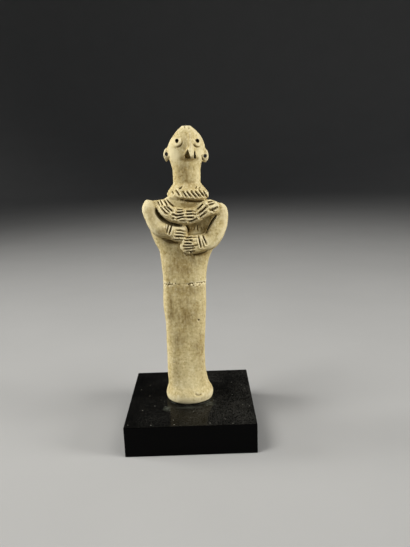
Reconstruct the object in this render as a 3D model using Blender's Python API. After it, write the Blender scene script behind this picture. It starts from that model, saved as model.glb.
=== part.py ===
"""Terracotta pillar statuette on a small black display block.

A hand-modelled votive figure: one lump of clay drawn up into a flat-fronted
pillar with a flared foot, the arms laid on the chest, a high collar, a thick
lower necklace, a pinched beak of a nose, pellet eyes and pierced ears. It is
one solid. The display block under it is the other.

Sizes are in millimetres and turned to metres where the meshes are made. The
figure faces -Y, +X is the viewer's right and +Z is up. The origin is the middle
of the block's underside.
"""

import math

import bmesh
import bpy
import numpy as np
from mathutils import Matrix, Vector
from mathutils.bvhtree import BVHTree

MM = 0.001

# Driving dimensions
BLOCK_WIDTH = 70.0
BLOCK_HEIGHT = 17.0
BLOCK_EDGE = 0.35
REST_GAP = 0.3
FOOT_LEVEL = BLOCK_HEIGHT + REST_GAP

# How finely the clay is divided: sides round it, and steps along it
BODY_SIDES = 36
LIMB_SIDES = 16
PELLET_SIDES = 16
HOLE_SIDES = 10
RING_STEP = 6.0
ROLL_STEP = 2.6
EAR_STEP = 1.5
SMOOTH_ANGLE = 45.0

EYE_RADIUS = 2.7
EYE_SWELL = 0.66
EYE_HOLE = 0.95
EYE_HOLE_LENGTH = 5.0
EAR_HOLE = 0.78
EAR_HOLE_LENGTH = 20.0
ROLL_SQUARENESS = 2.7

# A cutter stands this far out of the clay, along a stroke and at its tips
LIFT = 0.4
TIP_LIFT = 0.05
# How far along a stroke, and how much of its full width and depth there
BLADE_SHAPE = ((-0.2, 0.0), (-0.02, 0.8), (0.5, 1.0), (1.02, 0.8), (1.2, 0.0))

# Cross-sections of the one lump, from the foot up to the crown:
# height, middle, half width, depth in front, depth behind, squareness
LUMP = (
    (0.0, -0.6, 12.5, 11.1, 10.9, 2.1),
    (1.2, -0.8, 13.3, 12.0, 11.7, 2.1),
    (3.2, -0.7, 13.5, 12.3, 11.9, 2.1),
    (9.5, -1.3, 11.4, 10.5, 10.6, 2.3),
    (18.0, -2.0, 10.8, 9.5, 9.7, 2.8),
    (30.0, -1.9, 10.7, 9.1, 9.3, 3.0),
    (45.0, -1.5, 11.1, 9.0, 9.2, 3.1),
    (57.0, -1.4, 12.0, 9.0, 9.2, 3.1),
    (70.0, -1.0, 11.7, 8.8, 9.0, 3.0),
    (80.0, -0.5, 12.9, 8.2, 8.6, 2.8),
    (86.0, 0.4, 14.4, 7.7, 8.3, 2.6),
    (91.0, 0.9, 17.1, 7.2, 7.9, 2.6),
    (97.0, 1.3, 19.6, 6.2, 7.6, 2.6),
    (104.0, 1.3, 21.4, 5.4, 7.3, 2.6),
    (109.0, 0.6, 21.6, 5.2, 6.9, 2.6),
    (111.5, -1.5, 19.9, 5.2, 6.5, 2.5),
    (113.0, -3.0, 16.4, 5.2, 6.2, 2.4),
    (114.0, 0.0, 11.0, 5.8, 6.2, 2.2),
    (115.2, 2.1, 8.1, 6.7, 6.9, 2.1),
    (122.0, 2.2, 7.3, 6.8, 6.9, 2.0),
    (128.5, 2.4, 7.3, 6.8, 7.0, 2.0),
    (132.0, 2.4, 7.9, 6.8, 7.1, 2.0),
    (136.0, 2.4, 9.1, 6.9, 7.3, 2.1),
    (140.5, 2.7, 9.8, 7.0, 7.4, 2.1),
    (144.0, 2.9, 8.7, 6.4, 6.9, 2.1),
    (147.0, 3.1, 6.8, 5.3, 6.0, 2.1),
    (149.4, 3.0, 4.7, 4.1, 4.7, 2.1),
    (150.9, 3.0, 3.0, 2.7, 3.2, 2.0),
    (151.6, 3.0, 2.2, 1.9, 2.3, 2.0),
)

# The collar's ring of clay: the same six values
COLLAR = (
    (113.9, 4.3, 8.2, 7.9, 8.1, 2.0),
    (114.4, 3.9, 9.5, 9.3, 9.3, 2.0),
    (115.3, 2.9, 10.7, 10.3, 10.1, 2.0),
    (116.6, 2.5, 11.1, 10.6, 10.3, 2.0),
    (118.2, 2.4, 10.4, 9.9, 9.7, 2.0),
    (120.0, 2.3, 9.0, 8.6, 8.5, 2.0),
    (121.6, 2.3, 7.8, 7.4, 7.4, 2.0),
    (122.6, 2.3, 7.2, 6.6, 6.7, 2.0),
)

# The pinched nose, from its underside to the brow: the same six values
NOSE = (
    (135.1, 4.8, 4.4, 10.6, -4.0, 1.8),
    (136.2, 4.9, 4.3, 11.2, -4.0, 1.8),
    (138.5, 5.0, 3.7, 10.8, -4.0, 1.8),
    (141.5, 5.1, 2.9, 9.5, -4.0, 1.9),
    (144.5, 5.0, 2.2, 8.0, -4.0, 2.0),
    (147.5, 4.8, 1.6, 6.1, -4.0, 2.0),
)

# Rolls of clay laid on the chest, each along its own run:
# across, depth, height, half width, half thickness
LEFT_ARM = (
    (-17.0, -0.2, 113.6, 2.7, 2.8),
    (-17.2, -0.4, 112.5, 3.6, 4.6),
    (-17.4, -0.9, 109.6, 4.6, 6.0),
    (-16.0, -2.4, 105.6, 4.8, 6.2),
    (-14.3, -4.2, 101.8, 4.8, 5.6),
    (-12.2, -5.6, 99.1, 4.6, 4.7),
    (-8.0, -6.3, 98.1, 4.0, 4.2),
    (-4.4, -6.9, 97.1, 4.3, 4.0),
    (-1.4, -7.1, 96.8, 4.4, 3.8),
    (0.6, -7.2, 96.7, 3.7, 3.2),
    (1.7, -7.2, 96.7, 2.2, 2.1),
)
RIGHT_ARM = (
    (18.8, -0.2, 111.0, 1.5, 2.4),
    (18.9, -0.4, 109.9, 2.9, 4.6),
    (19.4, -0.9, 106.9, 4.2, 6.0),
    (19.0, -2.4, 103.2, 4.6, 6.0),
    (17.8, -3.9, 99.3, 4.9, 5.4),
    (15.9, -5.0, 95.2, 4.9, 5.1),
    (13.0, -6.0, 92.0, 4.9, 4.7),
    (9.0, -6.9, 90.9, 4.7, 4.3),
    (5.0, -7.4, 90.4, 5.0, 4.3),
    (1.6, -7.7, 90.4, 4.8, 4.1),
    (-0.7, -7.8, 90.5, 3.7, 3.3),
    (-2.3, -7.9, 90.5, 1.7, 2.0),
)
NECKLACE = (
    (-12.0, 0.4, 111.9, 1.5, 1.2),
    (-11.7, -3.0, 111.7, 2.7, 2.0),
    (-10.4, -6.0, 110.7, 3.5, 2.5),
    (-8.4, -7.3, 108.6, 3.8, 3.1),
    (-4.6, -7.8, 106.4, 4.1, 3.5),
    (1.2, -8.0, 105.6, 4.25, 3.6),
    (6.2, -7.9, 106.5, 4.1, 3.6),
    (10.2, -7.6, 108.4, 4.1, 3.5),
    (13.6, -7.1, 109.6, 4.2, 3.1),
    (16.4, -6.4, 109.4, 3.6, 2.8),
    (18.2, -5.9, 109.0, 2.0, 1.6),
)
LEFT_EAR = (
    (-6.5, 0.3, 140.5, 0.8, 0.9),
    (-7.3, 0.2, 139.1, 1.6, 1.5),
    (-7.7, 0.0, 137.2, 1.75, 1.7),
    (-7.9, 0.0, 135.3, 1.15, 1.2),
    (-8.0, 0.0, 133.7, 0.35, 0.5),
)
RIGHT_EAR = (
    (11.7, 0.3, 139.9, 0.8, 0.9),
    (12.4, 0.1, 138.1, 1.5, 1.5),
    (12.4, 0.0, 136.1, 1.8, 1.7),
    (12.1, 0.0, 134.2, 1.6, 1.4),
    (11.6, 0.0, 132.8, 0.7, 0.7),
)
CHEST = (
    (-9.6, -4.2, 113.6, 1.4, 1.8),
    (-6.4, -5.0, 113.2, 3.4, 3.4),
    (-1.0, -5.2, 112.2, 5.0, 3.7),
    (5.0, -5.1, 112.2, 4.9, 3.6),
    (9.0, -4.6, 113.0, 3.2, 3.0),
    (11.4, -4.2, 113.8, 1.2, 1.4),
)

# The clay stops short of touching here: dark slots between the arms and the
# necklace, with the same five values as a roll
GAPS = {
    "left_gap": (
        (-14.3, -8.0, 110.7, 0.3, 3.4),
        (-14.0, -8.4, 108.8, 0.8, 4.2),
        (-13.1, -8.8, 107.0, 1.0, 5.0),
        (-11.6, -9.0, 105.0, 0.95, 5.5),
        (-9.3, -9.0, 103.2, 0.8, 5.4),
        (-6.5, -9.2, 101.8, 0.6, 5.0),
        (-3.2, -9.4, 100.9, 0.4, 4.4),
        (-1.0, -9.4, 100.6, 0.2, 3.6),
    ),
    "right_gap": (
        (17.3, -8.6, 105.5, 0.25, 3.2),
        (16.2, -8.8, 104.0, 0.5, 4.2),
        (14.9, -9.0, 102.2, 0.55, 4.7),
        (13.7, -9.2, 100.2, 0.42, 4.6),
        (12.7, -9.6, 98.3, 0.3, 4.0),
        (12.1, -9.8, 96.8, 0.2, 3.4),
    ),
}

# Each pellet: across, up, and how far it leans out across and up, so that its
# outer top edge lies flush with the face
EYE_PELLETS = ((-1.6, 143.7, -0.15, 0.13), (8.5, 143.4, 0.13, 0.11))
EYE_HOLES = ((-1.8, 144.1), (8.8, 143.8))
# How far out each ring of a pellet is, and how high, from its seat to its top
PELLET_PROFILE = ((0.96, -1.0), (1.0, 0.2), (0.93, 0.75), (0.72, 1.0))
# The two nostrils, one open and three-sided, one a slit: how far back each
# ends, then the corners of its mouth
NOSTRILS = (
    (-4.4, (3.9, 139.8), (1.0, 134.4), (5.85, 134.4)),
    (-4.2, (7.0, 140.4), (6.25, 134.4), (8.0, 134.4)),
)
NOSTRIL_TAPER = 0.7
NOSE_CLEAR = -14.0
FRONT_CLEAR = -60.0
EAR_HOLES = ((-7.7, 137.6), (12.4, 136.0))

# Rows of cuts made with the edge of a tool. Each row gives where its first and
# its last cut start, how many cuts there are, which way the first and the last
# run, then their width and depth.
CUT_ROWS = {
    "collar": ((-5.4, 119.0), (10.8, 118.8), 9, (1.0, -1.2), (1.9, -2.9), 0.95, 0.8),
    "collar_top": ((6.9, 120.1), (8.8, 120.1), 2, (1.0, 1.4), (0.6, 1.1), 0.7, 0.45),
    "collar_pit": ((-1.3, 120.4), (-1.3, 120.4), 1, (1.0, 0.6), (1.0, 0.6), 0.9, 0.7),
    "shoulder": ((-13.2, 112.6), (-9.3, 113.2), 3, (1.1, -1.7), (1.0, -1.9), 0.9, 0.7),
    "left_bend": ((-11.0, 110.1), (-8.2, 111.0), 3, (2.2, -2.4), (2.6, -2.2), 1.0, 0.8),
    "left_front": ((-3.2, 109.5), (-3.1, 104.7), 4, (3.2, -0.1), (3.8, 0.6), 0.9, 0.8),
    "right_front": ((1.8, 108.4), (2.9, 103.1), 4, (2.9, 0.0), (3.9, 1.0), 0.9, 0.8),
    "right_bend": ((7.3, 109.2), (8.8, 105.2), 3, (3.2, 2.6), (3.0, 2.2), 1.1, 1.0),
    "right_end": ((13.0, 112.2), (13.5, 110.9), 2, (2.2, 0.4), (2.5, 0.5), 0.7, 0.5),
    "broken_end": ((14.2, 108.5), (14.2, 108.5), 1, (3.2, 0.8), (3.2, 0.8), 1.4, 1.2),
    "left_cuff": ((-8.0, 100.9), (-6.4, 100.9), 2, (-0.6, -2.4), (-1.3, -3.6), 0.8, 0.6),
    "left_hand": ((-4.1, 98.8), (-5.7, 93.9), 4, (4.1, -0.7), (5.3, -0.4), 1.05, 1.0),
    "right_cuff": ((7.9, 94.8), (10.3, 94.9), 3, (1.0, -4.8), (1.2, -3.4), 0.9, 0.7),
    "right_hand": ((1.1, 94.8), (0.1, 88.7), 5, (5.0, 0.0), (4.6, 0.1), 1.0, 1.0),
    "waist_mend": ((-11.0, 69.4), (1.2, 68.9), 2, (7.6, -0.6), (7.6, 0.2), 0.6, 0.3),
}

CLAY = {"colour": (0.55, 0.42, 0.23), "roughness": 0.85}
ACRYLIC = {"colour": (0.004, 0.004, 0.004), "roughness": 0.08}


def clear_scene():
    for item in list(bpy.data.objects):
        bpy.data.objects.remove(item, do_unlink=True)


def make_material(name, look):
    material = bpy.data.materials.new(name)
    material.use_nodes = True
    shader = material.node_tree.nodes["Principled BSDF"]
    shader.inputs["Base Color"].default_value = (*look["colour"], 1.0)
    shader.inputs["Roughness"].default_value = look["roughness"]
    return material


def make_object(name, bm, smooth=False):
    """Turn a bmesh in millimetres, measured from the foot, into an object."""
    bmesh.ops.recalc_face_normals(bm, faces=bm.faces)
    bmesh.ops.scale(bm, vec=Vector((MM, MM, MM)), verts=bm.verts)
    mesh = bpy.data.meshes.new(name)
    bm.to_mesh(mesh)
    bm.free()
    if smooth:
        mesh.shade_smooth()
        mesh.set_sharp_from_angle(angle=math.radians(SMOOTH_ANGLE))
    item = bpy.data.objects.new(name, mesh)
    item.location.z = FOOT_LEVEL * MM
    bpy.context.scene.collection.objects.link(item)
    return item


def make_guide(item, collection):
    """Hide an object that only shapes another, and file it with its kind."""
    item.hide_render = True
    item.display_type = "WIRE"
    bpy.context.scene.collection.objects.unlink(item)
    collection.objects.link(item)


def fair_curve(knots, values, at):
    """Cubic through the stations that never swells past them."""
    gap = np.diff(knots)
    rise = np.diff(values) / gap
    slope = np.zeros(len(knots))
    same_way = rise[:-1] * rise[1:] > 0
    low, high = rise[:-1][same_way], rise[1:][same_way]
    slope[1:-1][same_way] = 2 * low * high / (low + high)
    slope[0], slope[-1] = rise[0], rise[-1]
    i = np.clip(np.searchsorted(knots, at) - 1, 0, len(gap) - 1)
    t = (at - knots[i]) / gap[i]
    start = (1 + 2 * t) * (1 - t) ** 2 * values[i]
    start_slope = t * (1 - t) ** 2 * gap[i] * slope[i]
    end = t**2 * (3 - 2 * t) * values[i + 1]
    end_slope = t**2 * (t - 1) * gap[i] * slope[i + 1]
    return start + start_slope + end + end_slope


def fair_stations(stations, knots, step):
    """The stations with more between them, none further apart than step."""
    table = np.array(stations)
    at = [knots[0]]
    for low, high in zip(knots[:-1], knots[1:]):
        count = max(1, math.ceil((high - low) / step))
        at.extend(np.linspace(low, high, count + 1)[1:])
    at = np.array(at)
    return np.stack([fair_curve(knots, column, at) for column in table.T], axis=1)


def power_point(angle, squareness):
    """A point on the unit circle, pushed out towards a square."""
    x, y = math.cos(angle), math.sin(angle)
    power = 2.0 / squareness
    return math.copysign(abs(x) ** power, x), math.copysign(abs(y) ** power, y)


def skin(bm, rings):
    """Close a stack of equal rings into one solid."""
    loops = [[bm.verts.new(point) for point in ring] for ring in rings]
    sides = len(rings[0])
    for below, above in zip(loops[:-1], loops[1:]):
        for i in range(sides):
            j = (i + 1) % sides
            bm.faces.new((below[i], below[j], above[j], above[i]))
    bm.faces.new(loops[0][::-1])
    bm.faces.new(loops[-1])


def stacked_solid(name, sections, sides):
    """A solid through level cross-sections."""
    knots = np.array([section[0] for section in sections])
    rings = []
    for z, middle, half, front, behind, squareness in fair_stations(sections, knots, RING_STEP):
        ring = []
        for i in range(sides):
            x, y = power_point(2 * math.pi * i / sides, squareness)
            depth = behind if y > 0 else front
            ring.append((middle + half * x, depth * y, z))
        rings.append(ring)
    bm = bmesh.new()
    skin(bm, rings)
    return make_object(name, bm, smooth=True)


def rolled_solid(name, stations, step=ROLL_STEP):
    """A roll of clay along its own run, flat side towards the front."""
    places = np.array(stations)[:, :3]
    knots = np.concatenate([[0.0], np.cumsum(np.linalg.norm(np.diff(places, axis=0), axis=1))])
    fair = fair_stations(stations, knots, step)
    middles = [Vector(row[:3]) for row in fair]
    rings = []
    for i, (middle, row) in enumerate(zip(middles, fair)):
        along = middles[min(i + 1, len(middles) - 1)] - middles[max(i - 1, 0)]
        along.normalize()
        across = along.cross(Vector((0.0, -1.0, 0.0))).normalized()
        outward = across.cross(along).normalized()
        half, thick = row[3], row[4]
        ring = []
        for k in range(LIMB_SIDES):
            x, y = power_point(2 * math.pi * k / LIMB_SIDES, ROLL_SQUARENESS)
            ring.append(middle + across * (half * x) + outward * (thick * y))
        rings.append(ring)
    bm = bmesh.new()
    skin(bm, rings)
    return make_object(name, bm, smooth=True)


class Surface:
    """The clay's front face, found by looking straight at it from the front."""

    def __init__(self, item):
        graph = bpy.context.evaluated_depsgraph_get()
        bm = bmesh.new()
        bm.from_object(item, graph)
        bmesh.ops.scale(bm, vec=Vector((1 / MM, 1 / MM, 1 / MM)), verts=bm.verts)
        self.tree = BVHTree.FromBMesh(bm)
        bm.free()

    def at(self, x, z):
        start = Vector((x, FRONT_CLEAR, z))
        place, normal, _, _ = self.tree.ray_cast(start, Vector((0.0, 1.0, 0.0)))
        return place, normal


def eye_pellet(surface, number, x, z, lean_x, lean_z):
    """A pellet of clay pressed on the face, deeper on its outer top side."""
    place, normal = surface.at(x, z)
    normal = (normal + Vector((lean_x, 0.0, lean_z))).normalized()
    rings = []
    for reach, height in PELLET_PROFILE:
        ring = []
        for i in range(PELLET_SIDES):
            angle = 2 * math.pi * i / PELLET_SIDES
            ring.append((reach * math.cos(angle), reach * math.sin(angle), height))
        rings.append(ring)
    bm = bmesh.new()
    skin(bm, rings)
    size = Matrix.Diagonal((EYE_RADIUS, EYE_RADIUS, EYE_SWELL, 1.0))
    turn = normal.to_track_quat("Z", "Y").to_matrix().to_4x4()
    bm.transform(Matrix.Translation(place) @ turn @ size)
    return make_object(f"eye_pellet_{number}", bm, smooth=True)


def drill(name, place, radius, length):
    """A round cutter along Y, as long as it has to be."""
    bm = bmesh.new()
    bmesh.ops.create_cone(
        bm, cap_ends=True, segments=HOLE_SIDES, radius1=radius, radius2=radius, depth=length
    )
    bm.transform(Matrix.Translation(place) @ Matrix.Rotation(math.pi / 2, 4, "X"))
    return make_object(name, bm)


def blade_cut(name, surface, start, run, width, depth):
    """A cutter for one V-shaped stroke that fades out at both ends."""
    hits = [surface.at(start[0] + run[0] * t, start[1] + run[1] * t) for t, _ in BLADE_SHAPE]
    along = (hits[-1][0] - hits[0][0]).normalized()
    bm = bmesh.new()
    rings = []
    for (place, normal), (_, fullness) in list(zip(hits, BLADE_SHAPE))[1:-1]:
        side = normal.cross(along).normalized() * (width / 2 * fullness)
        lift = normal * LIFT
        corners = (
            place + side,
            place + side + lift,
            place - side + lift,
            place - side,
            place - normal * (depth * fullness),
        )
        rings.append([bm.verts.new(corner) for corner in corners])
    for low, high in zip(rings[:-1], rings[1:]):
        for i in range(len(low)):
            j = (i + 1) % len(low)
            bm.faces.new((low[i], low[j], high[j], high[i]))
    for ring, (place, normal) in ((rings[0], hits[0]), (rings[-1], hits[-1])):
        tip = bm.verts.new(place + normal * TIP_LIFT)
        for i in range(len(ring)):
            bm.faces.new((ring[i], ring[(i + 1) % len(ring)], tip))
    return make_object(name, bm)


def nostril(number, end, mouth):
    """A three-sided hollow that narrows as it runs back into the nose."""
    middle = sum((Vector((x, 0.0, z)) for x, z in mouth), Vector()) / len(mouth)
    front = [Vector((x, NOSE_CLEAR, z)) for x, z in mouth]
    inner = []
    for x, z in mouth:
        corner = middle.lerp(Vector((x, 0.0, z)), NOSTRIL_TAPER)
        inner.append(corner + Vector((0.0, end, 0.0)))
    bm = bmesh.new()
    skin(bm, [front, inner])
    return make_object(f"nostril_{number}", bm)


def join_by_boolean(item, operation, collection):
    modifier = item.modifiers.new(operation.title(), "BOOLEAN")
    modifier.operation = operation
    modifier.solver = "EXACT"
    modifier.operand_type = "COLLECTION"
    modifier.collection = collection


def row_of_cuts(surface, name, row):
    first, last, count, first_run, last_run, width, depth = row
    cuts = []
    for i in range(count):
        t = i / max(1, count - 1)
        start = [a + (b - a) * t for a, b in zip(first, last)]
        run = [a + (b - a) * t for a, b in zip(first_run, last_run)]
        cuts.append(blade_cut(f"cut_{name}_{i + 1}", surface, start, run, width, depth))
    return cuts


def make_statuette():
    clay = stacked_solid("statuette", LUMP, BODY_SIDES)
    clay.data.materials.append(make_material("fired_clay", CLAY))
    face = Surface(clay)

    added = bpy.data.collections.new("added_clay")
    removed = bpy.data.collections.new("removed_clay")
    bpy.context.scene.collection.children.link(added)
    bpy.context.scene.collection.children.link(removed)

    pieces = [
        stacked_solid("collar", COLLAR, BODY_SIDES),
        stacked_solid("nose", NOSE, LIMB_SIDES),
        rolled_solid("left_arm", LEFT_ARM),
        rolled_solid("right_arm", RIGHT_ARM),
        rolled_solid("necklace", NECKLACE),
        rolled_solid("chest", CHEST),
        rolled_solid("left_ear", LEFT_EAR, step=EAR_STEP),
        rolled_solid("right_ear", RIGHT_EAR, step=EAR_STEP),
    ]
    pieces += [eye_pellet(face, i + 1, *pellet) for i, pellet in enumerate(EYE_PELLETS)]
    for piece in pieces:
        make_guide(piece, added)
    join_by_boolean(clay, "UNION", added)
    bpy.context.view_layer.update()

    whole = Surface(clay)
    cutters = [nostril(i + 1, end, mouth) for i, (end, *mouth) in enumerate(NOSTRILS)]
    cutters += [rolled_solid(name, stations) for name, stations in GAPS.items()]
    for name, row in CUT_ROWS.items():
        cutters += row_of_cuts(whole, name, row)
    for i, (x, z) in enumerate(EYE_HOLES):
        place, _ = whole.at(x, z)
        cutters.append(drill(f"eye_hole_{i + 1}", place, EYE_HOLE, EYE_HOLE_LENGTH))
    for i, (x, z) in enumerate(EAR_HOLES):
        middle = Vector((x, 0.0, z))
        cutters.append(drill(f"ear_hole_{i + 1}", middle, EAR_HOLE, EAR_HOLE_LENGTH))
    for cutter in cutters:
        make_guide(cutter, removed)
    join_by_boolean(clay, "DIFFERENCE", removed)
    shading = clay.modifiers.new("Shade by face size", "WEIGHTED_NORMAL")
    shading.keep_sharp = True


def make_display_base():
    bm = bmesh.new()
    bmesh.ops.create_cube(bm, size=1.0)
    bmesh.ops.scale(bm, vec=Vector((BLOCK_WIDTH, BLOCK_WIDTH, BLOCK_HEIGHT)), verts=bm.verts)
    base = make_object("display_base", bm)
    base.location.z = BLOCK_HEIGHT / 2 * MM
    bevel = base.modifiers.new("Eased edges", "BEVEL")
    bevel.width = BLOCK_EDGE * MM
    bevel.segments = 2
    base.data.materials.append(make_material("black_acrylic", ACRYLIC))


clear_scene()
make_display_base()
make_statuette()
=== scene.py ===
import math
import time

import bmesh
import bpy
import numpy as np
from mathutils import Matrix, Vector, kdtree, noise
from mathutils.bvhtree import BVHTree


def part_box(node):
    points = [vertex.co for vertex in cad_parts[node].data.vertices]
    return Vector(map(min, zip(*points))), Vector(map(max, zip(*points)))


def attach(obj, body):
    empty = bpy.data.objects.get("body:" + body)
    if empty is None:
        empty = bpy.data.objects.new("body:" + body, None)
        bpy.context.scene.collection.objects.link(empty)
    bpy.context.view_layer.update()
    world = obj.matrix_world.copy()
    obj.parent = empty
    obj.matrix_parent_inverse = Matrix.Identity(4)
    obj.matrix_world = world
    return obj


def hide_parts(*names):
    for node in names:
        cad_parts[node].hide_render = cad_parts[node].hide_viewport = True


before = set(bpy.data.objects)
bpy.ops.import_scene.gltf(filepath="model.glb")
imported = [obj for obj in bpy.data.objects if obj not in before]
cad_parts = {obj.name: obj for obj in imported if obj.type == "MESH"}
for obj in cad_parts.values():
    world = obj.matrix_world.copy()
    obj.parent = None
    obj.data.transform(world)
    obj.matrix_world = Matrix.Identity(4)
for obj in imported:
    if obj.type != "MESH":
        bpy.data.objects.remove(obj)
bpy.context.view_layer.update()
started = time.time()

mm = 0.001
baseLow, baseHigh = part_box("display_base")
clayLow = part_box("statuette")[0]
# the clay is shaped in millimetres from the block's middle and the foot's underside
footCentre = Vector(((baseLow.x + baseHigh.x) / 2, (baseLow.y + baseHigh.y) / 2, clayLow.z))
blockTop = (baseHigh.z - clayLow.z) / mm
ontoBlock = Matrix.Translation(footCentre) @ Matrix.Diagonal((mm, mm, mm, 1.0))


def tell(stage):
    print(stage, "at", round(time.time() - started, 1), "s")


# the lump: height, middle, half width, depth in front, depth behind, squareness
pillar = {
    "sections": (
        (0.0, -0.6, 12.5, 11.1, 10.9, 2.1), (1.2, -0.8, 13.3, 12.0, 11.7, 2.1),
        (3.2, -0.7, 13.5, 12.3, 11.9, 2.1), (9.5, -1.3, 11.4, 10.5, 10.6, 2.3),
        (18.0, -2.0, 10.8, 9.5, 9.7, 2.8), (30.0, -1.9, 10.7, 9.1, 9.3, 3.0),
        (45.0, -1.5, 11.1, 9.0, 9.2, 3.1), (57.0, -1.4, 12.0, 9.0, 9.2, 3.1),
        (70.0, -1.0, 11.7, 8.8, 9.0, 3.0), (80.0, -0.5, 12.9, 8.2, 8.6, 2.8),
        (86.0, 0.4, 14.4, 7.7, 8.3, 2.6), (91.0, 0.9, 17.1, 7.2, 7.9, 2.6),
        (97.0, 1.3, 19.6, 6.2, 7.6, 2.6), (104.0, 1.3, 21.4, 5.4, 7.3, 2.6),
        (109.0, 0.6, 21.6, 5.2, 6.9, 2.6), (111.5, -1.5, 19.9, 5.2, 6.5, 2.5),
        (113.0, -3.0, 16.4, 5.2, 6.2, 2.4), (114.0, 0.0, 11.0, 5.8, 6.2, 2.2),
        (115.2, 2.1, 8.1, 6.7, 6.9, 2.1), (122.0, 2.2, 7.3, 6.8, 6.9, 2.0),
        (128.5, 2.4, 7.3, 6.8, 7.0, 2.0), (132.0, 2.4, 7.9, 6.8, 7.1, 2.0),
        (136.0, 2.4, 9.1, 6.9, 7.3, 2.1), (140.5, 2.7, 9.8, 7.0, 7.4, 2.1),
        (144.0, 2.9, 8.7, 6.4, 6.9, 2.1), (147.0, 3.1, 6.8, 5.3, 6.0, 2.1),
        (149.4, 3.0, 4.7, 4.1, 4.7, 2.1), (150.9, 3.0, 3.0, 2.7, 3.2, 2.0),
        (151.6, 3.0, 2.2, 1.9, 2.3, 2.0),
    ),
}

# the ring of clay round the neck: the same six values
collar = {
    "sections": (
        (113.9, 4.3, 8.2, 7.9, 8.1, 2.0), (114.4, 3.9, 9.5, 9.3, 9.3, 2.0),
        (115.3, 2.9, 10.7, 10.3, 10.1, 2.0), (116.6, 2.5, 11.1, 10.6, 10.3, 2.0),
        (118.2, 2.4, 10.4, 9.9, 9.7, 2.0), (120.0, 2.3, 9.0, 8.6, 8.5, 2.0),
        (121.6, 2.3, 7.8, 7.4, 7.4, 2.0), (122.6, 2.3, 7.2, 6.6, 6.7, 2.0),
    ),
}

# the pinched nose, and each nostril: how far back it ends, then its corners
nose = {
    "sections": (
        (135.1, 4.8, 4.4, 10.6, -4.0, 1.8), (136.2, 4.9, 4.3, 11.2, -4.0, 1.8),
        (138.5, 5.0, 3.7, 10.8, -4.0, 1.8), (141.5, 5.1, 2.9, 9.5, -4.0, 1.9),
        (144.5, 5.0, 2.2, 8.0, -4.0, 2.0), (147.5, 4.8, 1.6, 6.1, -4.0, 2.0),
    ),
    "nostrils": (
        (-5.0, (3.85, 140.6), (1.4, 137.0), (1.9, 135.0), (4.2, 134.3), (5.7, 134.6)),
        (-4.0, (7.1, 141.3), (6.2, 135.0), (7.0, 134.4), (8.0, 134.9)),
    ),
    "inFront": -14.0,
    "taper": 0.7,
}

# rolls laid on the chest: across, depth, height, half width, half thickness
leftArm = {
    "stations": (
        (-17.0, -0.2, 113.6, 2.7, 2.8), (-17.2, -0.4, 112.5, 3.6, 4.6), (-17.4, -0.9, 109.6, 4.6, 6.0),
        (-16.0, -2.4, 105.6, 4.8, 6.2), (-14.3, -4.2, 101.8, 4.8, 5.6), (-12.2, -5.6, 99.1, 4.6, 4.7),
        (-8.0, -6.3, 98.1, 4.0, 4.2), (-4.4, -6.9, 97.1, 4.3, 4.0), (-1.4, -7.1, 96.8, 4.4, 3.8),
        (0.6, -7.2, 96.7, 3.7, 3.2), (1.7, -7.2, 96.7, 2.2, 2.1),
    ),
}

rightArm = {
    "stations": (
        (18.8, -0.2, 111.0, 1.5, 2.4), (18.9, -0.4, 109.9, 2.9, 4.6), (19.4, -0.9, 106.9, 4.2, 6.0),
        (19.0, -2.4, 103.2, 4.6, 6.0), (17.8, -3.9, 99.3, 4.9, 5.4), (15.9, -5.0, 95.2, 4.9, 5.1),
        (13.0, -6.0, 92.0, 4.9, 4.7), (9.0, -6.9, 90.9, 4.7, 4.3), (5.0, -7.4, 90.4, 5.0, 4.3),
        (1.6, -7.7, 90.4, 4.8, 4.1), (-0.7, -7.8, 90.5, 3.7, 3.3), (-2.3, -7.9, 90.5, 1.7, 2.0),
    ),
}

necklace = {
    "stations": (
        (-12.0, 0.4, 111.9, 1.5, 1.2), (-11.7, -3.0, 111.7, 2.7, 2.0), (-10.4, -6.0, 110.7, 3.5, 2.5),
        (-8.4, -7.3, 108.6, 3.8, 3.1), (-4.6, -7.8, 106.4, 4.1, 3.5), (1.2, -8.0, 105.6, 4.25, 3.6),
        (6.2, -7.9, 106.5, 4.1, 3.6), (10.2, -7.6, 108.4, 4.1, 3.5), (13.6, -7.1, 109.6, 4.2, 3.1),
        (16.4, -6.4, 109.4, 3.6, 2.8), (18.2, -5.9, 109.0, 2.0, 1.6),
    ),
}

chest = {
    "stations": (
        (-9.6, -4.2, 113.6, 1.4, 1.8), (-6.4, -5.0, 113.2, 3.4, 3.4), (-1.0, -5.2, 112.2, 5.0, 3.7),
        (5.0, -5.1, 112.2, 4.9, 3.6), (9.0, -4.6, 113.0, 3.2, 3.0), (11.4, -4.2, 113.8, 1.2, 1.4),
    ),
}

ears = {
    "left": (
        (-6.5, 0.3, 140.5, 0.8, 0.9), (-7.3, 0.2, 139.1, 1.6, 1.5), (-7.7, 0.0, 137.2, 1.75, 1.7),
        (-7.9, 0.0, 135.3, 1.15, 1.2), (-8.0, 0.0, 133.7, 0.35, 0.5),
    ),
    "right": (
        (11.7, 0.3, 139.9, 0.8, 0.9), (12.4, 0.1, 138.1, 1.5, 1.5), (12.4, 0.0, 136.1, 1.8, 1.7),
        (12.1, 0.0, 134.2, 1.6, 1.4), (11.6, 0.0, 132.8, 0.7, 0.7),
    ),
    "holes": ((-7.7, 137.6), (12.4, 136.0)),
    "holeRadius": 0.78,
}

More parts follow.
